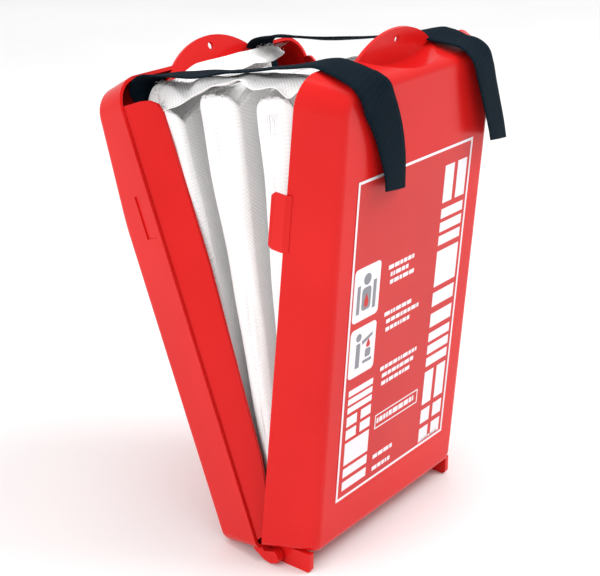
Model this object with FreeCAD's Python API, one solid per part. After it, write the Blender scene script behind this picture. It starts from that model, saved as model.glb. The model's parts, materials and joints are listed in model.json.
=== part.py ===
"""Fire blanket in a hinged two-shell plastic case, standing open on its feet.

Every piece is first drawn in the closed case: the rim plane is y = 0, the front cover lies on -y,
the back cover on +y, and z runs up from the bottom of the rims. Each body is then turned about
the hinge axis to its place in the open case.
"""
import FreeCAD
import Part
import math
import os

V = FreeCAD.Vector

# --- driving dimensions, mm and degrees ---------------------------------------------------------
CASE_W = 180.0          # width over the rims
CASE_H = 300.0          # height of the rims
WALL = 2.2
RIM_GAP = 0.2           # each rim stands this far from the closing plane
TOP_RADIUS = 18.0
BOTTOM_RADIUS = 5.0

FRONT_DEPTH = 32.6      # front cover depth at its bottom edge
FRONT_SLOPE = 0.027     # depth lost per mm of height
FRONT_PANEL_W = 152.0
BACK_DEPTH = 35.0
BACK_PANEL_W = 169.0
BACK_CHAMFER_Z = 215.0  # the back slopes forward above this height
BACK_TOP_DEPTH = 25.0
BACK_CREASE_RADIUS = 120.0
PANEL_Z = (2.0, 295.0)  # lower and upper edge of both panels
PANEL_TOP_RADIUS = 15.0
PANEL_BOTTOM_RADIUS = 9.0
EDGE_RADIUS = 6.0
BACK_EDGE_RADIUS = 5.0

EAR_HALF_CHORD = 37.0
EAR_RISE = 13.0
HOLE_RADIUS = 2.4
HOLE_Z = CASE_H + 6.4
SCOOP_DEPTH = 7.0

FLANGE_X = 87.4         # outer face of an upstand flange at the closing plane
FLANGE_WALL = 2.0
FLANGE_REACH = 18.0
CLIP_Z = (200.0, 234.0)
CLIP_REACH = 9.4
CLIP_WALL = 1.3
CLIP_GAP = 0.35         # between a clip and the back cover's rim
RECESS_DEPTH = 0.9
RECESS_Y = (4.5, 14.5)
RECESS_Z = (203.5, 230.5)

HINGE = (-6.3, -6.2)    # hinge axis in the closed case, y and z
HINGE_HEIGHT = 5.81     # hinge axis above the floor
PIN_RADIUS = 2.0
EYE_RADIUS = 2.05
FIN_X = (75.6, 79.2)
LUG_X = (80.0, 86.0)
OPENING = 26.1          # angle between the covers
LEAN = 5.3              # the front cover leans forward by this much

LABEL_W = 121.0
LABEL_Z = (32.5, 241.0)
LABEL_THICKNESS = 0.2

LEAF_THICKNESS = 5.4
LEAF_PITCH = 6.0
LEAF_FRONT_Y = -21.6    # front face of the foremost fold
LEAF_BOTTOM_Z = 28.0
LEAF_TOPS = (283.0, 274.0, 270.0, 270.0, 275.0, 283.0)    # rear fold first
LEAF_HALF_W = (73.8, 73.8, 73.8, 73.8, 73.8, 70.0)
LEAF_SHARES = (0.107, 0.828)    # part of the opening that the rear and front folds follow
LEAF_COUNT = len(LEAF_TOPS)

STRAP_W = 25.0
STRAP_THICKNESS = 1.6
STRAP_X = {"left": -51.0, "right": 54.0}
THREAD = 0.5
FLAP_BOW = 4.0          # rise of the loose cloth over its straight line

ROW_ORIGIN_Y = 41.2     # from the hinge axis to the middle of the standing object


# --- small helpers ------------------------------------------------------------------------------
def face_from_yz(points, x):
    """Flat polygon at one x, from (y, z) points."""
    loop = [V(x, y, z) for y, z in points]
    return Part.Face(Part.makePolygon(loop + loop[:1]))


def prism_x(points, x_low, x_high):
    """Solid with a (y, z) polygon for its side view."""
    return face_from_yz(points, x_low).extrude(V(x_high - x_low, 0, 0))


def prism_z(points, z_low, z_high):
    """Solid with an (x, y) polygon for its top view."""
    loop = [V(x, y, z_low) for x, y in points]
    return Part.Face(Part.makePolygon(loop + loop[:1])).extrude(V(0, 0, z_high - z_low))


def box(x, y, z):
    """Box from three (low, high) pairs."""
    return Part.makeBox(x[1] - x[0], y[1] - y[0], z[1] - z[0], V(x[0], y[0], z[0]))


def mirrored(shape):
    return shape.mirror(V(0, 0, 0), V(1, 0, 0))


def both_sides(shape):
    return [shape, mirrored(shape)]


def fused(first, others):
    return first.fuse(list(others)).removeSplitter()


def outline(half_w, z_low, z_high, r_top, r_bottom, depth_at):
    """Rounded rectangle whose y at each height is depth_at(z)."""
    def at(x, z):
        return V(x, depth_at(z), z)

    def corner(x, z, radius, start):
        turn = [math.radians(start + step) for step in (0, 45, 90)]
        marks = [at(x + radius * math.cos(a), z + radius * math.sin(a)) for a in turn]
        return Part.Arc(*marks).toShape()

    arcs = [
        corner(half_w - r_top, z_high - r_top, r_top, 0),
        corner(r_top - half_w, z_high - r_top, r_top, 90),
        corner(r_bottom - half_w, z_low + r_bottom, r_bottom, 180),
        corner(half_w - r_bottom, z_low + r_bottom, r_bottom, 270),
    ]
    edges = []
    for index, arc in enumerate(arcs):
        following = arcs[(index + 1) % 4]
        edges.append(arc)
        edges.append(Part.makeLine(arc.Vertexes[-1].Point, following.Vertexes[0].Point))
    return Part.Wire(edges)


def tray(side, depth_at, panel_w, inset):
    """Solid body of a cover, or of the hollow in it when inset is the wall."""
    rim = outline(CASE_W / 2 - inset, inset, CASE_H - inset, TOP_RADIUS - inset,
                  BOTTOM_RADIUS - inset, lambda z: side * (RIM_GAP - min(inset, 0.05)))
    panel = outline(panel_w / 2 - inset, PANEL_Z[0] + inset, PANEL_Z[1] - inset,
                    PANEL_TOP_RADIUS - inset, PANEL_BOTTOM_RADIUS - inset,
                    lambda z: side * (depth_at(z) - inset))
    return Part.makeLoft([rim, panel], True, True)


def panel_edges(solid, clear_of_rim):
    """Edges of the panel: those that stay away from the rim plane."""
    chosen = []
    for edge in solid.Edges:
        bounds = edge.BoundBox
        if min(abs(bounds.YMin), abs(bounds.YMax)) > clear_of_rim:
            chosen.append(edge)
    return chosen


def scoop(wall):
    """Shallow round channel in the front cover's top wall, in front of the ear."""
    radius = (EAR_HALF_CHORD ** 2 + SCOOP_DEPTH ** 2) / (2 * SCOOP_DEPTH)
    start = V(0, 16.0, CASE_H - SCOOP_DEPTH - 1.7 + radius)
    run = V(0, -46.0, 5.5)
    return Part.makeCylinder(radius + wall, run.Length, start, run)


def ear(side):
    """Round-topped hanging ear in the rim plane, with its hole."""
    radius = (EAR_HALF_CHORD ** 2 + EAR_RISE ** 2) / (2 * EAR_RISE)
    y_near, y_far = sorted((side * RIM_GAP, side * (RIM_GAP + WALL)))
    plate = Part.makeCylinder(radius, y_far - y_near, V(0, y_near, CASE_H + EAR_RISE - radius),
                              V(0, 1, 0))
    plate = plate.common(box((-50, 50), (y_near, y_far), (CASE_H - 9.0, CASE_H + 20)))
    hole = Part.makeCylinder(HOLE_RADIUS, 10, V(0, y_near - 3, HOLE_Z), V(0, 1, 0))
    return plate.cut(hole)


# --- front cover --------------------------------------------------------------------------------
def front_depth(z):
    return FRONT_DEPTH - FRONT_SLOPE * z


def floor_line(y):
    """Height, in the closed case, of the floor under the front cover's feet."""
    lean = math.radians(LEAN)
    return HINGE[1] - (HINGE_HEIGHT + (y - HINGE[0]) * math.sin(lean)) / math.cos(lean)


def front_fin():
    """Foot and hinge eye under one side of the front cover."""
    rear, front = HINGE[0] + 4.8, -31.0
    side_view = [(rear, 1.2), (rear, floor_line(rear)), (front + 1.5, floor_line(front + 1.5)),
                 (front, floor_line(front) + 2.0), (front + 1.0, 3.5), (-14.0, 1.2)]
    fin = prism_x(side_view, *FIN_X)
    eye = Part.makeCylinder(EYE_RADIUS, 20, V(FIN_X[0] - 5, *HINGE), V(1, 0, 0))
    return fin.cut(eye)


def front_clip():
    """Flexible tongue on one side of the rim that snaps over the back cover."""
    inner = CASE_W / 2 + CLIP_GAP
    outer = inner + CLIP_WALL
    plan = [(inner - 1.9, -1.6), (inner - 1.4, -0.3), (inner, -0.3), (inner, CLIP_REACH),
            (outer + 0.4, CLIP_REACH - 0.4), (outer + 0.4, CLIP_REACH - 1.5),
            (outer, CLIP_REACH - 2.0), (outer, -0.6), (inner - 1.2, -3.2), (inner - 2.6, -3.2)]
    tongue = prism_z(plan, *CLIP_Z)
    side_view = [(-4.0, CLIP_Z[0]), (CLIP_REACH - 2.5, CLIP_Z[0]), (CLIP_REACH + 1.0, CLIP_Z[0] + 3.5),
                 (CLIP_REACH + 1.0, CLIP_Z[1] - 3.5), (CLIP_REACH - 2.5, CLIP_Z[1]), (-4.0, CLIP_Z[1])]
    return tongue.common(prism_x(side_view, 0, CASE_W))


def front_cover():
    body = tray(-1, front_depth, FRONT_PANEL_W, 0.0)
    body = body.makeFillet(EDGE_RADIUS, panel_edges(body, 15)).cut(scoop(0.0))
    hollow = tray(-1, front_depth, FRONT_PANEL_W, WALL)
    hollow = hollow.makeFillet(EDGE_RADIUS - WALL, panel_edges(hollow, 15)).cut(scoop(WALL))
    shell = body.cut(hollow)
    extras = [ear(-1)] + both_sides(front_fin()) + both_sides(front_clip())
    return fused(shell, extras)


def front_label():
    """Printed film on the front panel."""
    def skin(lift):
        return [(-front_depth(z) - lift, z) for z in LABEL_Z]

    near, far = skin(0.0), skin(LABEL_THICKNESS)
    film = prism_x([near[0], near[1], far[1], far[0]], -LABEL_W / 2, LABEL_W / 2)
    upright = [e for e in film.Edges if abs(e.Vertexes[0].Y - e.Vertexes[-1].Y) < 0.3
               and e.Length < 1.0]
    return film.makeFillet(4.0, upright)


# --- back cover ---------------------------------------------------------------------------------
def back_slope(inset):
    """Wedge that takes the back's upper part forward."""
    low = (BACK_DEPTH - inset, BACK_CHAMFER_Z)
    high = (BACK_TOP_DEPTH - inset, CASE_H)
    return prism_x([low, high, (60, CASE_H), (60, BACK_CHAMFER_Z)], -120, 120)


def clip_recess():
    """Shallow recess beside the rim, under one clip's tip."""
    slope = (CASE_W - BACK_PANEL_W) / 2 / BACK_DEPTH
    near, far = (CASE_W / 2 - slope * y for y in RECESS_Y)
    plan = [(near - RECESS_DEPTH, RECESS_Y[0]), (far - RECESS_DEPTH, RECESS_Y[1]),
            (far + 5, RECESS_Y[1]), (near + 5, RECESS_Y[0])]
    return prism_z(plan, *RECESS_Z)


def back_flange():
    """Upstand that reaches into the front cover and keeps the blanket in line."""
    draft = (CASE_W - FRONT_PANEL_W) / 2 / (front_depth(CASE_H) - WALL)
    tip = FLANGE_X - draft * FLANGE_REACH
    plan = [(FLANGE_X + 0.3, 6.0), (FLANGE_X, 0.0), (tip, -FLANGE_REACH),
            (tip - FLANGE_WALL, -FLANGE_REACH), (FLANGE_X - FLANGE_WALL, 0.0),
            (FLANGE_X - FLANGE_WALL, 6.0)]
    side_view = [(8.0, 6.0), (0.0, 6.0), (-9.0, 10.0), (-14.0, 55.0), (-18.0, 180.0),
                 (-18.0, 274.0), (-16.6, 279.5), (-12.6, 283.0), (-8.0, 284.0), (8.0, 284.0)]
    return prism_z(plan, 0, CASE_H).common(prism_x(side_view, 0, CASE_W / 2))


def back_lug():
    """Ear under one corner of the back cover with the moulded hinge pin."""
    side_view = [(7.0, 1.5), (7.0, -1.0), (1.0, -8.2), (-3.0, -10.6), (-9.0, -10.6),
                 (-10.6, -8.6), (-10.6, -4.4), (-8.8, -2.6), (-1.0, -2.4), (0.4, 1.5)]
    lug = prism_x(side_view, *LUG_X)
    pin = Part.makeCylinder(PIN_RADIUS, LUG_X[0] + 1 - FIN_X[0], V(FIN_X[0], *HINGE), V(1, 0, 0))
    return lug.fuse(pin)


def opening_stop():
    """Block behind one fin that ends the opening."""
    away = [(5.73, 0.0), (6.7, -2.0), (10.0, -1.2), (12.0, 8.0), (6.9, 8.0), (6.9, 5.0), (6.0, 4.0)]
    side_view = [(HINGE[0] + y, HINGE[1] + z) for y, z in away]
    return prism_x(side_view, *FIN_X)


def back_body(inset):
    """Rounded solid of the back cover, or of its hollow when inset is the wall."""
    body = tray(1, lambda z: BACK_DEPTH, BACK_PANEL_W, inset).cut(back_slope(inset))
    crease = [e for e in panel_edges(body, 10) if is_crease(e)]
    body = body.makeFillet(BACK_CREASE_RADIUS - inset, crease)
    return body.makeFillet(BACK_EDGE_RADIUS - inset, outer_back_edges(body))


def back_cover():
    shell = back_body(0.0).cut(back_body(WALL))
    for recess in both_sides(clip_recess()):
        shell = shell.cut(recess)
    extras = [ear(1)]
    for piece in (back_flange(), back_lug(), opening_stop()):
        extras += both_sides(piece)
    return fused(shell, extras)


def is_crease(edge):
    """The shallow bend across the back."""
    bounds = edge.BoundBox
    return bounds.XLength > 100 and abs(bounds.ZMin - BACK_CHAMFER_Z) < 40


def outer_back_edges(solid):
    """Panel edges without the bend across the back."""
    return [e for e in panel_edges(solid, 10) if not is_crease(e)]


# --- blanket ------------------------------------------------------------------------------------
def leaf_y(index):
    """Front and rear face of one fold in the closed case; fold 0 is the rear one."""
    front = LEAF_FRONT_Y + (LEAF_COUNT - 1 - index) * LEAF_PITCH
    return front, front + LEAF_THICKNESS


def leaf_angle(index):
    """How far a fold is turned forward from the closed case, in the open case."""
    first, last = LEAF_SHARES
    share = first + (last - first) * index / (LEAF_COUNT - 1)
    return LEAN - OPENING * (1 - share)


def blanket_fold(index):
    y = leaf_y(index)
    half = LEAF_HALF_W[index]
    slab = box((-half, half), y, (LEAF_BOTTOM_Z, LEAF_TOPS[index]))
    rounded = [e for e in slab.Edges if e.BoundBox.YLength < 1e-6]
    return slab.makeFillet(2.2, rounded)


def hem_stitching():
    """Row of short stitches along the top hem of the foremost fold."""
    y_front, _ = leaf_y(LEAF_COUNT - 1)
    top = LEAF_TOPS[-1]
    count = 36
    step = 4.0
    stitches = []
    for number in range(count):
        x = (number - (count - 1) / 2) * step
        stitches.append(box((x - 1.3, x + 1.3), (y_front - THREAD, y_front),
                            (top - 12.4, top - 11.8)))
    band = box((-74, 74), (y_front - 0.15, y_front), (top - 12.5, top - 11.7))
    return fused(band, stitches)


# --- straps -------------------------------------------------------------------------------------
def ribbon(path, thickness, x_mid, width):
    """Band of webbing or cloth that follows (y, z) points, spread along x."""
    sides = ([], [])
    last = len(path) - 1
    for index, (y, z) in enumerate(path):
        before, after = path[max(index - 1, 0)], path[min(index + 1, last)]
        run = V(0, after[0] - before[0], after[1] - before[1]).normalize()
        normal = V(0, -run.z, run.y) * (thickness / 2)
        middle = V(x_mid - width / 2, y, z)
        sides[0].append(middle + normal)
        sides[1].append(middle - normal)
    curves = []
    for side in sides:
        curve = Part.BSplineCurve()
        curve.interpolate(side)
        curves.append(curve.toShape())
    ends = [Part.makeLine(sides[0][k], sides[1][k]) for k in (0, last)]
    loop = Part.Wire([curves[0], ends[1], curves[1], ends[0]])
    return Part.Face(loop).extrude(V(width, 0, 0))


def sewn_end(x_mid):
    """End of a strap that lies on the back of the rear fold."""
    rear = leaf_y(0)[1]
    return box((x_mid - STRAP_W / 2, x_mid + STRAP_W / 2), (rear, rear + STRAP_THICKNESS),
               (LEAF_TOPS[0] - 62, LEAF_TOPS[0] - 1))


def box_stitch(x_mid):
    """Square with a cross, sewn through the end of a strap."""
    rear = leaf_y(0)[1] + STRAP_THICKNESS
    z_mid = LEAF_TOPS[0] - 45
    half = 9.0
    depth = (rear, rear + THREAD)
    bars = [box((x_mid - half, x_mid + half), depth, (z_mid + s * half - 0.4, z_mid + s * half + 0.4))
            for s in (-1, 1)]
    bars += [box((x_mid + s * half - 0.4, x_mid + s * half + 0.4), depth, (z_mid - half, z_mid + half))
             for s in (-1, 1)]
    for turn in (45, -45):
        reach = half * math.sqrt(2)
        bar = box((x_mid - reach, x_mid + reach), depth, (z_mid - 0.4, z_mid + 0.4))
        bar.rotate(V(x_mid, 0, z_mid), V(0, 1, 0), turn)
        bars.append(bar)
    return fused(bars[0], bars[1:])


def strap_tail(x_mid):
    """Free end of a strap over the top of the front cover and down its face."""
    path = [(-6.0, 302.4), (-15.0, 302.3), (-23.5, 300.2), (-29.5, 294.5), (-32.2, 285.0),
            (-34.2, 268.0), (-37.2, 236.0)]
    return ribbon(path, STRAP_THICKNESS, x_mid, STRAP_W)


# --- the open case ------------------------------------------------------------------------------
def placed(shape, angle):
    """Turn a piece about the hinge axis by angle, and stand it in the row's frame."""
    turned = shape.copy()
    turned.rotate(V(0, *HINGE), V(1, 0, 0), angle)
    turned.translate(V(0, -ROW_ORIGIN_Y - HINGE[0], HINGE_HEIGHT - HINGE[1]))
    return turned


def placed_point(y, z, angle):
    """Where a (y, z) point of the closed case lies in the row's frame."""
    a = math.radians(angle)
    dy, dz = y - HINGE[0], z - HINGE[1]
    return (dy * math.cos(a) - dz * math.sin(a) - ROW_ORIGIN_Y,
            dy * math.sin(a) + dz * math.cos(a) + HINGE_HEIGHT)


def strap_bridge(x_mid):
    """Middle of a strap, from the rear fold to the front cover's top edge."""
    rear = leaf_y(0)[1] + STRAP_THICKNESS / 2
    start = placed_point(rear, LEAF_TOPS[0] - 0.4, leaf_angle(0))
    second = placed_point(rear - 1.5, LEAF_TOPS[0] + 8.0, leaf_angle(0))
    end = placed_point(-5.6, 302.4, LEAN)
    nearly = placed_point(4.0, 302.6, LEAN)
    path = [start, second]
    for share in (0.3, 0.55, 0.8):
        path.append(tuple(a + (b - a) * share for a, b in zip(second, nearly)))
    path += [nearly, end]
    return ribbon(path, STRAP_THICKNESS, x_mid, STRAP_W)


def top_flap():
    """Cloth that crosses from the rear fold to the front one, under the straps."""
    start = placed_point(leaf_y(0)[0] + 1.0, LEAF_TOPS[0] + 1.2, leaf_angle(0))
    end = placed_point(leaf_y(LEAF_COUNT - 1)[1] - 2.0, LEAF_TOPS[-1] + 1.2,
                       leaf_angle(LEAF_COUNT - 1))
    path = []
    for share in (0, 0.25, 0.5, 0.75, 1):
        y, z = (a + (b - a) * share for a, b in zip(start, end))
        path.append((y, z + FLAP_BOW * 4 * share * (1 - share)))
    return ribbon(path, 1.2, -24.0, 100.0)


def all_nodes():
    rear, front = LEAN - OPENING, LEAN
    nodes = {
        "back_cover": placed(back_cover(), rear),
        "front_cover": placed(front_cover(), front),
        "front_label": placed(front_label(), front),
        "blanket_top_flap": top_flap(),
        "blanket_hem_stitching": placed(hem_stitching(), leaf_angle(LEAF_COUNT - 1)),
    }
    for index in range(LEAF_COUNT):
        nodes["blanket_fold_%d" % (index + 1)] = placed(blanket_fold(index), leaf_angle(index))
    for side, x_mid in STRAP_X.items():
        nodes["strap_%s_sewn_end" % side] = placed(sewn_end(x_mid), leaf_angle(0))
        nodes["strap_%s_box_stitch" % side] = placed(box_stitch(x_mid), leaf_angle(0))
        nodes["strap_%s_bridge" % side] = strap_bridge(x_mid)
        nodes["strap_%s_tail" % side] = placed(strap_tail(x_mid), front)
    return nodes


if __name__ == "__main__":
    os.makedirs("parts", exist_ok=True)
    for name, shape in all_nodes().items():
        shape.exportStep(os.path.join("parts", name + ".step"))
        print(name, shape.isValid(), len(shape.Solids), round(shape.Volume, 1))
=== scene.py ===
import json
import math
import random

import bpy
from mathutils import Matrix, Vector, noise


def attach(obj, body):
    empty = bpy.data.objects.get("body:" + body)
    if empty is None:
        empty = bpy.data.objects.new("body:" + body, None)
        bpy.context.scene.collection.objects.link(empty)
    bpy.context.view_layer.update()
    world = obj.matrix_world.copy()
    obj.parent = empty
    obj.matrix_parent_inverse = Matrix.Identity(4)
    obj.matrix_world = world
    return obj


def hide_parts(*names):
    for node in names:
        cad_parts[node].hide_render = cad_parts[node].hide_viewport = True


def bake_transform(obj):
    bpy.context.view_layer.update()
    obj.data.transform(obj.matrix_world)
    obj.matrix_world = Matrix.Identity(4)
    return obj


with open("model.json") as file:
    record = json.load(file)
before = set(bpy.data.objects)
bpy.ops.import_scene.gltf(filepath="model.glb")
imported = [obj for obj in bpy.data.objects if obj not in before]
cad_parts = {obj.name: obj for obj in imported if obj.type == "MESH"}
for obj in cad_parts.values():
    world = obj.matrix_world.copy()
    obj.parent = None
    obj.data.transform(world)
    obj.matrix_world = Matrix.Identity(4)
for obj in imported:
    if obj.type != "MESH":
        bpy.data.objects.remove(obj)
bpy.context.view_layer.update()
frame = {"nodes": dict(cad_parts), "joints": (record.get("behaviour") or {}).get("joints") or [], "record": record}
random.seed(7)

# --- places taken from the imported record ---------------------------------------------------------
JOINTS = {j["name"]: j for j in frame["joints"]}
HINGE = Vector(JOINTS["front_cover_hinge"]["pos_m"])
OPENING = -JOINTS["front_cover_hinge"]["range_deg"][0]
LEAN = 5.3                          # forward lean of the open front cover, degrees
RATIOS = {c["joint"]: c["ratio"] for c in frame["record"]["behaviour"]["couplings"]}
HINGE_Y, HINGE_Z = -6.3, -6.2       # hinge axis in the closed case, mm
FRONT = LEAN


def fold_angle(number):
    return LEAN + OPENING * RATIOS["fold_%d_fan" % number]


def place(x, y, z, angle):
    """Closed-case millimetres to the row frame's metres, turned about the hinge axis."""
    a = math.radians(angle)
    dy, dz = y - HINGE_Y, z - HINGE_Z
    return Vector((x / 1000,
                   HINGE.y + (dy * math.cos(a) - dz * math.sin(a)) / 1000,
                   HINGE.z + (dy * math.sin(a) + dz * math.cos(a)) / 1000))


def smooth(t):
    t = min(max(t, 0.0), 1.0)
    return t * t * (3 - 2 * t)


# --- mesh helpers --------------------------------------------------------------------------------
def new_object(name, verts, faces, material, uvs=None, soft=True):
    mesh = bpy.data.meshes.new(name)
    mesh.from_pydata([tuple(v) for v in verts], [], faces)
    mesh.update()
    if uvs is not None:
        layer = mesh.uv_layers.new(name="UVMap")
        for loop in mesh.loops:
            layer.data[loop.index].uv = uvs[loop.vertex_index]
    for poly in mesh.polygons:
        poly.use_smooth = soft
    obj = bpy.data.objects.new(name, mesh)
    bpy.context.scene.collection.objects.link(obj)
    mesh.materials.append(material)
    return obj


def apply_modifiers(obj):
    graph = bpy.context.evaluated_depsgraph_get()
    done = bpy.data.meshes.new_from_object(obj.evaluated_get(graph))
    obj.modifiers.clear()
    obj.data = done


def grid_faces(across, along):
    return [(i * along + j, i * along + j + 1, (i + 1) * along + j + 1, (i + 1) * along + j)
            for i in range(across - 1) for j in range(along - 1)]


def tube(points, radius, sides=6):
    """Vertices and faces of a round thread along points."""
    verts, faces = [], []
    for k, p in enumerate(points):
        a, b = points[max(k - 1, 0)], points[min(k + 1, len(points) - 1)]
        run = (b - a).normalized()
        side = run.orthogonal().normalized()
        up = run.cross(side)
        for s in range(sides):
            t = 2 * math.pi * s / sides
            verts.append(p + radius * (math.cos(t) * side + math.sin(t) * up))
    for k in range(len(points) - 1):
        for s in range(sides):
            faces.append((k * sides + s, k * sides + (s + 1) % sides,
                          (k + 1) * sides + (s + 1) % sides, (k + 1) * sides + s))
    faces.append(tuple(range(sides)))
    faces.append(tuple((len(points) - 1) * sides + s for s in reversed(range(sides))))
    return verts, faces


def joined(parts):
    verts, faces = [], []
    for v, f in parts:
        base = len(verts)
        verts += v
        faces += [tuple(base + i for i in face) for face in f]
    return verts, faces


# --- materials -----------------------------------------------------------------------------------
class Nodes:
    """Small wrapper for building a material's node tree."""

    def __init__(self, name):
        self.material = bpy.data.materials.new(name)
        self.material.use_nodes = True
        self.tree = self.material.node_tree
        self.shader = self.tree.nodes["Principled BSDF"]

    def add(self, kind, **values):
        node = self.tree.nodes.new(kind)
        for key, value in values.items():
            if key in node.inputs:
                node.inputs[key].default_value = value
            else:
                setattr(node, key, value)
        return node

    def link(self, source, target):
        self.tree.links.new(source, target)

    def math(self, operation, a, b=None):
        node = self.tree.nodes.new("ShaderNodeMath")
        node.operation = operation
        for slot, value in ((0, a), (1, b)):
            if value is None:
                continue
            if isinstance(value, (int, float)):
                node.inputs[slot].default_value = value
            else:
                self.link(value, node.inputs[slot])
        return node.outputs[0]

    def ramp(self, source, stops):
        node = self.tree.nodes.new("ShaderNodeValToRGB")
        elements = node.color_ramp.elements
        while len(elements) < len(stops):
            elements.new(0.5)
        for element, (position, colour) in zip(elements, stops):
            element.position = position
            element.color = (*colour, 1)
        self.link(source, node.inputs[0])
        return node.outputs[0]

    def bump(self, height, strength, distance, before=None):
        node = self.tree.nodes.new("ShaderNodeBump")
        node.inputs["Strength"].default_value = strength
        node.inputs["Distance"].default_value = distance
        self.link(height, node.inputs["Height"])
        if before is not None:
            self.link(before, node.inputs["Normal"])
        return node.outputs[0]

    def set(self, **values):
        for key, value in values.items():
            self.shader.inputs[key.replace("_", " ")].default_value = value

    def coordinates(self, scale=(1, 1, 1), output="Object"):
        source = self.tree.nodes.new("ShaderNodeTexCoord").outputs[output]
        mapping = self.add("ShaderNodeMapping")
        mapping.inputs["Scale"].default_value = scale
        self.link(source, mapping.inputs["Vector"])
        return mapping.outputs[0]

    def noise(self, vector, scale, detail=3.0, rough=0.5):
        node = self.add("ShaderNodeTexNoise", Scale=scale, Detail=detail, Roughness=rough)
        self.link(vector, node.inputs["Vector"])
        return node.outputs["Fac"]


def gloss_red(name, deep, bright):
    """Moulded gloss plastic with faint flow marks and a very fine surface waviness."""
    n = Nodes(name)
    where = n.coordinates()
    cloud = n.noise(where, 9.0, 2.0)
    n.link(n.ramp(cloud, [(0.3, deep), (0.7, bright)]), n.shader.inputs["Base Color"])
    smudge = n.noise(where, 38.0, 4.0, 0.6)
    n.link(n.math("ADD", n.math("MULTIPLY", smudge, 0.12), 0.17), n.shader.inputs["Roughness"])
    grain = n.noise(where, 900.0, 2.0)
    wave = n.noise(where, 26.0, 1.0)
    first = n.bump(wave, 0.08, 0.002)
    n.link(n.bump(grain, 0.04, 0.0002, first), n.shader.inputs["Normal"])
    n.set(Specular_IOR_Level=0.18, IOR=1.5)
    return n.material


def film_red(name):
    n = Nodes(name)
    where = n.coordinates()
    cloud = n.noise(where, 12.0, 2.0)
    n.link(n.ramp(cloud, [(0.3, (0.56, 0.022, 0.022)), (0.7, (0.62, 0.032, 0.030))]),
           n.shader.inputs["Base Color"])
    grain = n.noise(where, 700.0, 2.0)
    n.link(n.math("ADD", n.math("MULTIPLY", grain, 0.1), 0.3), n.shader.inputs["Roughness"])
    n.link(n.bump(n.noise(where, 60.0, 2.0), 0.05, 0.0004), n.shader.inputs["Normal"])
    n.set(Specular_IOR_Level=0.2)
    return n.material


def print_white(name, colour):
    """Screen-printed ink: slightly uneven cover and a matt skin."""
    n = Nodes(name)
    where = n.coordinates()
    patch = n.noise(where, 420.0, 4.0, 0.7)
    shade = tuple(c * 0.93 for c in colour)
    n.link(n.ramp(patch, [(0.25, shade), (0.6, colour)]), n.shader.inputs["Base Color"])
    n.link(n.math("ADD", n.math("MULTIPLY", patch, 0.2), 0.35), n.shader.inputs["Roughness"])
    n.link(n.bump(patch, 0.1, 0.0001), n.shader.inputs["Normal"])
    return n.material


def woven(name, shade_and_lit_colours, pitch, strength, roughness, gloss, twill=False):
    """Cloth weave from the UV map, which is in metres along the two threads."""
    n = Nodes(name)
    split = n.add("ShaderNodeSeparateXYZ")
    n.link(n.coordinates(output="UV"), split.inputs[0])
    turns = 2 * math.pi / pitch
    u = n.math("MULTIPLY", split.outputs[0], turns)
    v = n.math("MULTIPLY", split.outputs[1], turns)
    if twill:
        height = n.math("SINE", n.math("ADD", u, n.math("MULTIPLY", v, 0.5)))
        height = n.math("ADD", height, n.math("MULTIPLY", n.math("SINE", u), 0.6))
    else:
        height = n.math("MULTIPLY", n.math("SINE", u), n.math("SINE", v))
    level = n.math("ADD", n.math("MULTIPLY", height, 0.5), 0.5)
    where = n.coordinates()
    fuzz = n.noise(where, 1500.0, 2.0, 0.7)
    # Soft random patches of painted shade on the cloth, at a large scale.
    shade_patches = n.noise(where, 14.0, 3.0, 0.6)
    mixed = n.math("ADD", n.math("MULTIPLY", level, 0.5), n.math("MULTIPLY", shade_patches, 0.5))
    # Colour is darker in the weave's hollows and in the shade patches: the first colour is painted shade, the
    # second the lit cloth.
    n.link(n.ramp(mixed, [(0.1, shade_and_lit_colours[0]), (0.55, shade_and_lit_colours[1])]), n.shader.inputs["Base Color"])
    n.link(n.math("ADD", n.math("MULTIPLY", fuzz, 0.2), roughness), n.shader.inputs["Roughness"])
    first = n.bump(level, strength, 0.0006)
    n.link(n.bump(fuzz, 0.25, 0.0004, first), n.shader.inputs["Normal"])
    n.set(Specular_IOR_Level=gloss)
    return n.material


def thread(name, light, dark):
    n = Nodes(name)
    where = n.coordinates((1, 1, 1))
    ply = n.noise(where, 2200.0, 1.0)
    n.link(n.ramp(ply, [(0.35, dark), (0.65, light)]), n.shader.inputs["Base Color"])
    n.link(n.bump(ply, 0.5, 0.0002), n.shader.inputs["Normal"])
    n.set(Roughness=0.7)
    return n.material


RED = gloss_red("gloss_red_case", (0.62, 0.009, 0.009), (0.70, 0.014, 0.012))
FILM = film_red("label_film")
INK = print_white("label_ink", (0.86, 0.83, 0.86))
GREY_INK = print_white("label_grey_ink", (0.24, 0.24, 0.27))
# Glass cloth: the grey first colour is painted shade on the white cloth, the second its lit white.
CLOTH = woven("glass_cloth", ((0.78, 0.78, 0.79), (0.93, 0.925, 0.92)), 0.0024, 0.4, 0.62, 0.25)
# Navy webbing: the lighter colour is the strap's lit top painted in, the darker its painted shade.
WEBBING = woven("navy_webbing", ((0.0015, 0.004, 0.007), (0.005, 0.013, 0.021)), 0.002, 0.3, 0.8,
                0.07, True)
NAVY = thread("navy_thread", (0.02, 0.035, 0.055), (0.006, 0.01, 0.018))
WHITE = thread("white_thread", (0.8, 0.8, 0.78), (0.6, 0.6, 0.6))

for node in ("back_cover", "front_cover"):
    frame["nodes"][node].data.materials.clear()
    frame["nodes"][node].data.materials.append(RED)
frame["nodes"]["front_label"].data.materials.clear()
frame["nodes"]["front_label"].data.materials.append(FILM)


# --- label print ---------------------------------------------------------------------------------
FRONT_DEPTH, FRONT_SLOPE = 32.6, 0.027


def on_label(x, z, lift=0.32):
    return place(x, -(FRONT_DEPTH - FRONT_SLOPE * z) - lift, z, FRONT)


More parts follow.
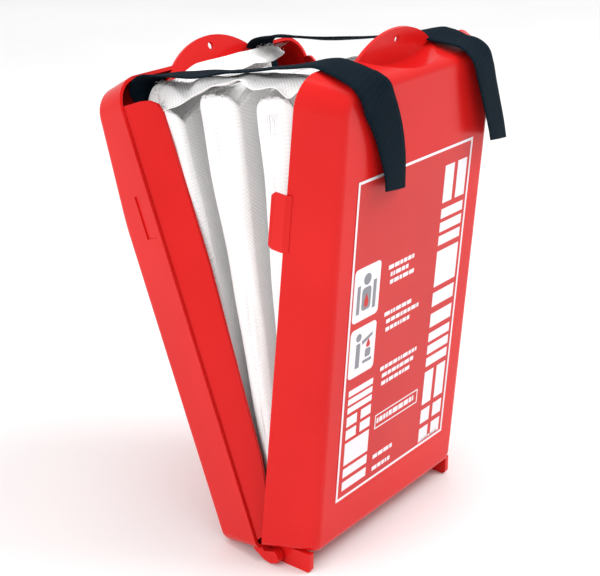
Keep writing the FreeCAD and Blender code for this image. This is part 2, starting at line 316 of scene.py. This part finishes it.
def print_piece(name, polygons, material, lift=0.32):
    """Flat printed shapes with a little ink thickness."""
    verts, faces = [], []
    for loop in polygons:
        count, base = len(loop), len(verts)
        verts += [on_label(x, z, lift) for x, z in loop]
        verts += [on_label(x, z, lift - 0.1) for x, z in loop]
        faces.append(tuple(base + i for i in range(count)))
        for i in range(count):
            j = (i + 1) % count
            faces.append((base + i, base + count + i, base + count + j, base + j))
    obj = new_object(name, verts, faces, material, soft=False)
    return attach(obj, "front_cover")


def rectangle(x0, x1, z0, z1):
    return [(x0, z0), (x1, z0), (x1, z1), (x0, z1)]


def rounded(x0, x1, z0, z1, r):
    loop = []
    for cx, cz, start in ((x1 - r, z0 + r, 270), (x1 - r, z1 - r, 0), (x0 + r, z1 - r, 90),
                          (x0 + r, z0 + r, 180)):
        for step in range(0, 91, 15):
            a = math.radians(start + step)
            loop.append((cx + r * math.cos(a), cz + r * math.sin(a)))
    return loop


def disc(x, z, r, sides=20):
    return [(x + r * math.cos(2 * math.pi * k / sides), z + r * math.sin(2 * math.pi * k / sides))
            for k in range(sides)]


def frame_bars(x0, x1, z0, z1, width):
    return [rectangle(x0, x1, z0, z0 + width), rectangle(x0, x1, z1 - width, z1),
            rectangle(x0, x0 + width, z0 + width, z1 - width),
            rectangle(x1 - width, x1, z0 + width, z1 - width)]


def rhythm_block(x0, x1, z0, z1, kind):
    """Plain bars that fill one cell of a big heading; no shape here is a letter."""
    w, h = x1 - x0, z1 - z0
    bars = {
        0: [(0, 1, 0, 1)],
        1: [(0, 0.42, 0, 1), (0.58, 1, 0, 1)],
        2: [(0, 1, 0, 0.4), (0, 1, 0.6, 1)],
        3: [(0, 1, 0, 0.26), (0, 1, 0.37, 0.63), (0, 1, 0.74, 1)],
        4: [(0, 0.42, 0, 0.42), (0.58, 1, 0, 0.42), (0, 0.42, 0.58, 1), (0.58, 1, 0.58, 1)],
    }[kind]
    return [rectangle(x0 + a * w, x0 + b * w, z0 + c * h, z0 + d * h) for a, b, c, d in bars]


def heading(x0, x1, z0, z1, kinds):
    """A column of blocks with narrow gaps, read bottom to top."""
    step = (z1 - z0) / len(kinds)
    shapes = []
    for k, kind in enumerate(kinds):
        shapes += rhythm_block(x0, x1, z0 + k * step, z0 + (k + 0.86) * step, kind)
    return shapes


def text_lines(x0, x1, z_top, rows, height, pitch, seed):
    """Rows of short dashes that stand for small print."""
    rng = random.Random(seed)
    shapes = []
    for row in range(rows):
        x = x0 + (2.5 if row else 0)
        end = x1 - rng.uniform(0, 0.3) * (x1 - x0)
        z = z_top - row * pitch
        while x < end - 1.5:
            length = rng.uniform(1.6, 6.0)
            shapes.append(rectangle(x, min(x + length, end), z - height, z))
            x += length + 0.9
    return shapes


white = frame_bars(-60.0, 60.0, 33.0, 241.0, 1.7)
white += heading(-54.5, -29.5, 39.0, 111.0, (2, 0, 4, 3))
white += heading(31.0, 55.5, 36.0, 233.0, (4, 1, 3, 2, 0, 3, 1))
white += text_lines(-22.5, 5.5, 180.0, 3, 2.7, 5.0, 1)
white += text_lines(-23.0, 18.5, 149.5, 3, 2.7, 5.4, 2)
white += text_lines(-22.5, 20.5, 112.5, 3, 2.7, 5.4, 3)
white += frame_bars(-23.5, 24.0, 69.5, 79.5, 0.8)
white += text_lines(-21.5, 22.5, 76.6, 1, 3.6, 5.0, 4)
white += text_lines(-22.5, 3.5, 50.5, 1, 2.9, 5.0, 5)
white += text_lines(-22.5, 3.5, 41.8, 1, 2.9, 5.0, 6)
white += text_lines(34.0, 55.0, 37.6, 1, 1.6, 3.0, 7)
print_piece("label_print", white, INK)
signs = [rounded(-57.0, -31.0, 153.0, 187.0, 3.0), rounded(-57.0, -31.0, 116.5, 148.5, 3.0)]
print_piece("label_signs", signs, INK, 0.34)
marks = [disc(-44.0, 178.5, 3.6), rounded(-48.5, -39.5, 159.0, 173.5, 2.5),
         rectangle(-53.5, -50.5, 158.0, 176.0), rectangle(-37.5, -34.5, 158.0, 176.0),
         disc(-48.5, 142.0, 2.6), rectangle(-50.5, -46.5, 122.0, 138.0),
         [(-44.5, 136.0), (-34.5, 139.5), (-34.5, 141.5), (-45.0, 138.5)],
         rectangle(-43.0, -34.0, 123.0, 125.0), rounded(-41.0, -35.5, 126.5, 132.0, 1.2)]
print_piece("label_sign_marks", marks, GREY_INK, 0.42)
flame = [[(-45.5, 161.0), (-42.5, 161.0), (-41.8, 164.5), (-44.0, 169.5), (-46.2, 164.5)],
         [(-40.0, 133.0), (-36.8, 133.0), (-36.6, 135.0), (-38.4, 138.5), (-40.2, 135.0)]]
print_piece("label_sign_red", flame, FILM, 0.5)


# --- blanket -------------------------------------------------------------------------------------
FOLD_FRONT, FOLD_PITCH, PLY = -21.6, 6.0, 1.15
PLIES = 4
FOLD_SPAN, TURN = 137.0, 17.0      # straight run of one fold, and its bend into the next, in mm
BOTTOM, TOP = 30.0, 281.0
REARWARD = {1: 0.0, 2: 0.3, 3: 1.3, 4: 1.0, 5: 2.3, 6: 2.2}     # degrees, at rest
DROP = {1: 1.0, 2: 8.0, 3: 1.0, 4: 0.0, 5: 1.0, 6: 1.0}         # of each fold's top


def fold_mid(number):
    """Closed-case y of the middle of fold 1 (rear) to 6 (front)."""
    return FOLD_FRONT + (6 - number) * FOLD_PITCH + 2.7


def loose_angle(number):
    """Angle of one fold of the loose cloth, a little behind its body's."""
    return fold_angle(number) - REARWARD[number]


def lane(s):
    """The cloth's path seen from above: (x, fold number as a float) at arc length s in mm.

    It runs to and fro, from fold 1's free edge on the right to fold 6's."""
    for number in range(1, 7):
        if s <= FOLD_SPAN or number == 6:
            x = min(s, FOLD_SPAN) - FOLD_SPAN / 2
            return (x if number % 2 == 0 else -x), float(number), 0.0
        s -= FOLD_SPAN
        if s <= TURN:
            t = s / TURN
            side = -1 if number % 2 else 1
            return side * (FOLD_SPAN / 2 + 5.0 * math.sin(math.pi * t)), number + smooth(t), side
        s -= TURN
    return None


def cloth_point(u, v):
    """Row-frame place of the cloth at u along the fan and v along the height, both in mm."""
    x, number, side = lane(u)
    height = TOP - BOTTOM
    bend = math.pi * PLY / 2
    run = height + bend
    ply = min(int(v // run), PLIES - 1)
    local = v - ply * run
    up = ply % 2 == 0
    if local <= height:
        z = BOTTOM + local if up else TOP - local
        layer = ply
    else:
        t = (local - height) / bend
        z = (TOP if up else BOTTOM) + (1 if up else -1) * PLY / 2 * math.sin(math.pi * t)
        layer = ply + smooth(t)
    flip = 1 if int(number + 0.5) % 2 else -1
    share = 1.0
    if side:
        share = -math.cos(math.pi * (number - math.floor(number)))
        share = share if int(math.floor(number)) % 2 == 0 else -share
    else:
        share = flip
    offset = (layer - (PLIES - 1) / 2) * PLY * share
    lower, upper = int(math.floor(number)), int(math.ceil(number))
    part = number - lower
    y = fold_mid(lower) * (1 - part) + fold_mid(upper) * part
    angle = loose_angle(lower) * (1 - part) + loose_angle(upper) * part
    height_share = (z - BOTTOM) / height
    top_drop = DROP[lower] * (1 - part) + DROP[upper] * part
    push, corner = pleat_shape(x, number, side, height_share)
    z -= (top_drop + corner * height_share ** 3) * height_share
    x -= math.copysign(push, x)
    wave = noise.noise(Vector((x * 0.02, number * 1.7, z * 0.008 + 3.0)))
    ripple = noise.noise(Vector((x * 0.05, number * 2.3 + 9.0, z * 0.03)))
    spread = min(1.0, height_share * 1.3)
    swell = 3.4 * spread * wave + 0.9 * ripple * spread
    gap = 1.0 + 0.9 * spread * (0.5 + 0.5 * noise.noise(Vector((number * 3.1, z * 0.012, x * 0.012))))
    point_y = y + offset * gap + swell
    lift = 2.2 * spread * noise.noise(Vector((x * 0.03, number * 1.3, 7.0)))
    edge = 1.5 * noise.noise(Vector((number * 2.0, z * 0.02, layer * 0.6)))
    return place(x + edge, point_y, z + lift * height_share, angle)


def outward(u, v):
    """Direction out of the cloth's outer face at (u, v)."""
    here = cloth_point(u, v)
    along = cloth_point(u + 0.5, v) - cloth_point(u - 0.5, v)
    up = cloth_point(u, v + 0.5) - cloth_point(u, v - 0.5)
    normal = along.cross(up).normalized()
    axis = place(0, fold_mid(5), here.z * 1000, fold_angle(5))
    return normal if normal.dot(here - axis) > 0 else -normal


def follow_folds(obj):
    """Bake a piece's world transform into its mesh."""
    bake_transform(obj)


def cloth_steps():
    """Arc lengths across the fan: coarse on the flat runs, fine in the bends."""
    flat, bent = ((26, 34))
    steps = []
    for number in range(1, 7):
        base = (number - 1) * (FOLD_SPAN + TURN)
        steps += [base + FOLD_SPAN * k / flat for k in range(flat)]
        if number < 6:
            steps += [base + FOLD_SPAN + TURN * k / bent for k in range(bent)]
    return steps + [6 * FOLD_SPAN + 5 * TURN]


def pleat_shape(x, number, side, height_share):
    """How far a bend is pushed in, and how far its top corners are rounded off, in mm."""
    if not side:
        return 0.0, 7.0 * math.exp(-((FOLD_SPAN / 2 - abs(x)) / 9.0) ** 2)
    t = number - math.floor(number)
    push = 0.0
    if side < 0 and 3 < number < 4:
        open_part = math.exp(-((height_share - 0.88) / 0.07) ** 2)
        crease = 1.6 * smooth(height_share * 2) + 4.5 * open_part
        push = crease * math.exp(-((t - 0.33) / (0.045 + 0.05 * open_part)) ** 2)
        push += 1.2 * smooth(height_share * 1.5) * math.exp(-((t - 0.62) / 0.1) ** 2)
    elif side < 0:
        push = 1.0 * smooth(height_share * 1.5) * math.exp(-((t - 0.45) / 0.12) ** 2)
    return push, 7.0 * abs(2 * t - 1) ** 3


def blanket():
    steps = cloth_steps()
    total_v = PLIES * (TOP - BOTTOM) + (PLIES - 1) * math.pi * PLY / 2
    across, along = len(steps), (330)
    verts, uvs = [], []
    for u in steps:
        for j in range(along):
            v = total_v * j / (along - 1)
            verts.append(cloth_point(u, v))
            uvs.append((u / 1000, v / 1000))
    obj = new_object("fire_blanket", verts, grid_faces(across, along), CLOTH, uvs)
    modifier = obj.modifiers.new("thickness", "SOLIDIFY")
    modifier.thickness = 0.00045
    modifier.offset = 0
    apply_modifiers(obj)
    follow_folds(obj)
    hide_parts(*["blanket_fold_%d" % k for k in range(1, 7)])
    return obj


blanket()


def spline(points, count):
    """Evenly spread points on a smooth curve through points."""
    dense = []
    last = len(points) - 1
    for k in range(last):
        p0, p1 = points[max(k - 1, 0)], points[k]
        p2, p3 = points[k + 1], points[min(k + 2, last)]
        for step in range(24):
            t = step / 24
            dense.append(0.5 * ((2 * p1) + (p2 - p0) * t + (2 * p0 - 5 * p1 + 4 * p2 - p3) * t * t
                                + (3 * p1 - p0 - 3 * p2 + p3) * t ** 3))
    dense.append(points[-1].copy())
    lengths = [0.0]
    for a, b in zip(dense, dense[1:]):
        lengths.append(lengths[-1] + (b - a).length)
    out, k = [], 0
    for step in range(count):
        want = lengths[-1] * step / (count - 1)
        while k < len(dense) - 2 and lengths[k + 1] < want:
            k += 1
        part = (want - lengths[k]) / max(lengths[k + 1] - lengths[k], 1e-9)
        out.append(dense[k].lerp(dense[k + 1], min(max(part, 0), 1)))
    return out, lengths[-1]


FLAP_NEAR, FLAP_FAR, FLAP_FRONT_FAR = -76.0, 52.0, -36.0
CREST_FALL = 3.9                        # keeps the crest's front under the scoop when closed
SAG, SAG_SLOPE = 2.0, 0.03              # of the flap away from its near edge


def flap_crest(x):
    """Height of the cloth's rear edge over fold 1, which drops off at the near side."""
    crest = 290.5 + 6.0 * smooth((x + 50) / 28)
    return crest - 14.0 * smooth((-62 - x) / 13) - 2.5 * smooth((x - 40) / 14)


def flap_line(x):
    """The cloth's path at one x, from behind fold 1 to inside the front cover."""
    crest = flap_crest(x)
    droop = smooth((-62 - x) / 13)
    inward = smooth((x + 60) / 30)
    rear = [place(x, y, z, fold_angle(1)) for y, z in
            ((14.1, crest - 24), (14.0, crest - 6), (11.5, crest - 0.8), (7, crest),
             (-1, crest - 1.6 - CREST_FALL * inward))]
    heights = ((84, 274.0, 10.0), (66, 280.0, 5.5), (50, 284.0, 1.5), (38, 286.0, 5.5),
               (24, 289.0, 3.5), (13, 291.5, 8.5), (6, 293.5, 5.0))
    middle = [place(x, y, z - fall * droop - (SAG + SAG_SLOPE * (90 - y)) * inward, FRONT)
              for y, z, fall in heights]
    end = 292.5 - 5.0 * inward - 5.0 * droop
    front = [place(x, y, end - fall, FRONT) for y, fall in ((-2, 0.6), (-5, 6), (-6, 16))]
    return rear + middle + front


def flap():
    """End of the cloth that crosses from the rear fold to the front one under the straps."""
    across, along = ((128, 160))
    verts, uvs, lengths = [], [], []
    for i in range(across):
        share = i / (across - 1)
        x = FLAP_NEAR + (FLAP_FAR - FLAP_NEAR) * share
        line, length = spline(flap_line(x), along)
        lengths.append(length)
        narrow, _ = spline(flap_line(FLAP_NEAR + (FLAP_FRONT_FAR - FLAP_NEAR) * share), along)
        for j, p in enumerate(line):
            t = j / (along - 1)
            p = p.lerp(narrow[j], smooth((t - 0.2) / 0.16))
            bow = math.sin(math.pi * min(max((t - 0.12) / 0.76, 0.0), 1.0))
            p.z += 0.0034 * bow * noise.noise(Vector((p.x * 45, t * 6, 0.0)))
            p.z += 0.0018 * bow * noise.noise(Vector((p.x * 110, t * 14, 4.0)))
            p.y += 0.0014 * noise.noise(Vector((p.x * 60, t * 7, 8.0)))
            p.x += 0.0026 * noise.noise(Vector((p.x * 20, t * 8, 1.0)))
            verts.append(p)
            uvs.append((p.x, t * length))
    obj = new_object("blanket_end_flap", verts, grid_faces(across, along), CLOTH, uvs)
    modifier = obj.modifiers.new("thickness", "SOLIDIFY")
    modifier.thickness = 0.00045
    modifier.offset = 0
    apply_modifiers(obj)
    over_the_mouth(obj)
    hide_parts("blanket_top_flap")
    length = sum(lengths) / len(lengths)


def over_the_mouth(obj):
    """Bake a soft piece's world transform into its mesh."""
    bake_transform(obj)


def loose_yarns():
    """Frayed ends that stand out of the cloth's cut edge over fold 1."""
    rng = random.Random(11)
    parts = []
    spots = [(-72 + 22 * rng.random(), 1.0) for _ in range(60)]
    spots += [(34 + 17 * rng.random(), 1.0) for _ in range(50)]
    spots += [(-45 + 90 * rng.random(), 0.5) for _ in range(70)]
    for x, size in spots:
        y = 11 - 12 * rng.random()
        reach = size * (2.5 + 4.0 * rng.random())
        lean_x, lean_y = rng.uniform(-0.8, 0.8), rng.uniform(-1.0, 0.25)
        z = flap_crest(x) - 1.2 - 0.04 * (7 - y) ** 2
        points = []
        for t in (0, 0.35, 0.7, 1.0):
            rise = reach * (t - 0.45 * t * t)
            points.append(place(x + lean_x * reach * t * t, y + lean_y * reach * t * t, z + rise,
                                fold_angle(1)))
        parts.append(tube(points, 0.00013, 4))
    verts, faces = joined(parts)
    obj = new_object("blanket_loose_yarns", verts, faces, WHITE)
    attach(obj, "fold_1")


flap()
loose_yarns()


# --- straps --------------------------------------------------------------------------------------
def webbing(name, path, twists, slant, nodes):
    """Strap of 25 mm webbing through path; twists turn it about its own line, in degrees.

    Slant is how far its cut end runs on at one edge and stops short at the other."""
    count, lanes = 170, 9
    line, length = spline(path, count)
    width, thick = 0.025, 0.0014
    verts, uvs = [], []
    loop = [(-1 + 2 * k / (lanes - 1), 1) for k in range(lanes)]
    loop += [(1 - 2 * k / (lanes - 1), -1) for k in range(lanes)]
    for k, p in enumerate(line):
        a, b = line[max(k - 1, 0)], line[min(k + 1, count - 1)]
        run = (b - a).normalized()
        t = k / (count - 1)
        turn = 0.0
        for (t0, v0), (t1, v1) in zip(twists, twists[1:]):
            if t0 <= t <= t1:
                turn = v0 + (v1 - v0) * smooth((t - t0) / (t1 - t0))
        side = Vector((1, 0, 0))
        side = (side - run * side.dot(run)).normalized()
        normal = run.cross(side).normalized()
        a = math.radians(turn)
        across = side * math.cos(a) + normal * math.sin(a)
        out = run.cross(across)
        for s, (w, up) in enumerate(loop):
            edge = 1 - 0.55 * abs(w) ** 6
            cup = 0.0006 * noise.noise(Vector((k * 0.05, w, 2.0)))
            cut = run * (slant * w * smooth((t - 0.85) / 0.15))
            verts.append(p + across * (w * width / 2) + out * (up * edge * thick / 2 + cup) + cut)
            uvs.append((w * width / 2, t * length))
    around = len(loop)
    faces = []
    for k in range(count - 1):
        for s in range(around):
            n = (s + 1) % around
            faces.append((k * around + s, k * around + n, (k + 1) * around + n, (k + 1) * around + s))
    faces.append(tuple(reversed(range(around))))
    faces.append(tuple((count - 1) * around + s for s in range(around)))
    obj = new_object(name, verts, faces, WEBBING, uvs)
    over_the_mouth(obj)
    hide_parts(*nodes)
    return obj


def strap(side, rear, front, twists, slant):
    """A strap from the back of fold 1, over the mouth, and down the front cover's face."""
    path = [place(x, y, z, fold_angle(1)) for x, y, z in rear]
    path += [place(x, y, z, FRONT) for x, y, z in front]
    nodes = ["strap_%s_%s" % (side, part) for part in ("sewn_end", "bridge", "tail")]
    return webbing("strap_" + side, path, twists, slant, nodes)


strap("left",
      [(-57, 15.2, 222), (-59, 15.5, 262), (-62, 16.4, 284), (-63.5, 16.5, 291.5),
       (-62.5, 11, 295.4), (-60.5, 3, 295.4)],
      [(-58.5, 103, 271.6), (-58, 84, 276.2), (-58, 68, 281.4), (-58.5, 50, 286.6),
       (-59, 22, 295.6), (-59.5, 4, 301.6), (-59.5, -8, 301.4), (-59.2, -17, 299.8),
       (-58, -23.5, 297.2), (-55, -27.6, 291.5), (-48.5, -28.4, 282), (-41, -29, 270),
       (-35.2, -29.8, 256), (-31.5, -30.6, 243), (-30, -31.4, 231)],
      [(0, 0), (0.24, -10), (0.31, -3), (0.38, 2), (0.47, -6), (0.57, -5), (0.66, 3), (0.76, 5),
       (0.88, 0), (1, -10)], 0.0035)
strap("right",
      [(50, 15.2, 222), (49, 15.4, 262), (46.5, 16, 284), (45.5, 16, 294), (44.5, 12.5, 300),
       (44, 3, 302)],
      [(44, 102, 277.6), (44, 83, 281.0), (44, 55, 287.6), (44, 27, 295.2), (44, 5, 302.0),
       (44.4, -4, 302.4), (45.6, -14, 301.8), (48.5, -22, 299.6), (53, -27.8, 293.5),
       (57.5, -30.2, 284), (63, -31.4, 272), (68.5, -32.6, 259.5), (73.5, -33.8, 248),
       (77.5, -34.6, 238)],
      [(0, 0), (0.27, -4), (0.36, -12), (0.5, -12), (0.62, -2), (0.71, 7), (0.78, -6), (0.88, -10),
       (1, -13)], 0.0075)


# --- stitching -----------------------------------------------------------------------------------
def stitches(points, length, gap, radius):
    """Short humped threads along a line of points."""
    line, total = spline(points, 200)
    parts = []
    at = 0.0
    while at + length < total:
        picks = [at, at + length * 0.5, at + length]
        spots = [line[min(int(p / total * 199), 199)] for p in picks]
        parts.append(tube(spots, radius))
        at += length + gap
    return parts


def box_stitch(side, x_mid):
    z_mid, half, y = 238.0, 9.0, 16.2
    corners = [(-half, -half), (half, -half), (half, half), (-half, half)]
    lines = [(corners[k], corners[(k + 1) % 4]) for k in range(4)]
    lines += [(corners[0], corners[2]), (corners[1], corners[3])]
    parts = []
    for (x0, z0), (x1, z1) in lines:
        ends = [place(x_mid + x0 + (x1 - x0) * t, y, z_mid + z0 + (z1 - z0) * t, fold_angle(1))
                for t in (0, 0.5, 1)]
        parts += stitches(ends, 0.0022, 0.0006, 0.0003)
    verts, faces = joined(parts)
    obj = new_object("strap_%s_stitching" % side, verts, faces, NAVY)
    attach(obj, "fold_1")
    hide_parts("strap_%s_box_stitch" % side)


box_stitch("left", -57.8)
box_stitch("right", 49.6)


def bend_arc(number):
    """Arc lengths, in mm, where the bend after one fold starts and ends."""
    return number * FOLD_SPAN + (number - 1) * TURN, number * (FOLD_SPAN + TURN)


def hem():
    """Whip stitches and a running row round the near bend of folds 5 and 6."""
    parts = []
    start, end = bend_arc(5)
    top_run = TOP - BOTTOM
    count = 44
    for k in range(count):
        u = start - 26 + (end - start + 30) * k / (count - 1)
        points = []
        for down in (9.0, 12.5, 16.0, 19.5):
            p = cloth_point(u, top_run - down)
            points.append(p + outward(u, top_run - down) * 0.00045)
        parts.append(tube(points, 0.00016))
    row = [cloth_point(start - 26 + (end - start + 30) * t, top_run - 20.5)
           + outward(start - 26 + (end - start + 30) * t, top_run - 20.5) * 0.00045
           for t in [k / 24 for k in range(25)]]
    parts += stitches(row, 0.003, 0.001, 0.0002)
    verts, faces = joined(parts)
    obj = new_object("hem_stitching", verts, faces, WHITE)
    follow_folds(obj)
    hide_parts("blanket_hem_stitching")


hem()


# --- floor, light and camera ---------------------------------------------------------------------
def floor():
    n = Nodes("pale_floor")
    where = n.coordinates()
    n.link(n.ramp(n.noise(where, 3.0, 2.0), [(0.3, (0.86, 0.86, 0.86)), (0.7, (0.9, 0.9, 0.9))]),
           n.shader.inputs["Base Color"])
    n.set(Roughness=0.7)
    verts = [(-8, -8, 0), (8, -8, 0), (8, 8, 0), (-8, 8, 0)]
    obj = new_object("floor", verts, [(0, 1, 2, 3)], n.material, soft=False)


def light(name, place_at, aim, size, power):
    data = bpy.data.lights.new(name, "AREA")
    data.size = size
    data.energy = power
    obj = bpy.data.objects.new(name, data)
    obj.location = place_at
    obj.rotation_euler = (Vector(aim) - Vector(place_at)).to_track_quat("-Z", "Y").to_euler()
    bpy.context.scene.collection.objects.link(obj)


floor()
light("key", (1.1, -1.3, 2.2), (0, 0, 0.15), 1.2, 34)
light("left_fill", (-2.4, 0.4, 1.3), (0, 0, 0.15), 1.6, 24)
light("top", (-0.2, 0.2, 2.4), (0, 0, 0.2), 1.2, 12)
world = bpy.data.worlds.new("studio")
world.use_nodes = True
world.node_tree.nodes["Background"].inputs[0].default_value = (1, 1, 1, 1)
world.node_tree.nodes["Background"].inputs[1].default_value = 0.8
bpy.context.scene.world = world

camera_data = bpy.data.cameras.new("camera")
camera_data.sensor_width = 36
camera_data.lens = 80.25
camera = bpy.data.objects.new("camera", camera_data)
camera.location = HINGE + Vector((-0.6326, -0.4485, 0.4655))
camera.rotation_euler = Vector((0.7310, 0.5704, -0.3746)).to_track_quat("-Z", "Y").to_euler()
bpy.context.scene.collection.objects.link(camera)
bpy.context.scene.camera = camera
bpy.context.scene.view_settings.view_transform = "Standard"
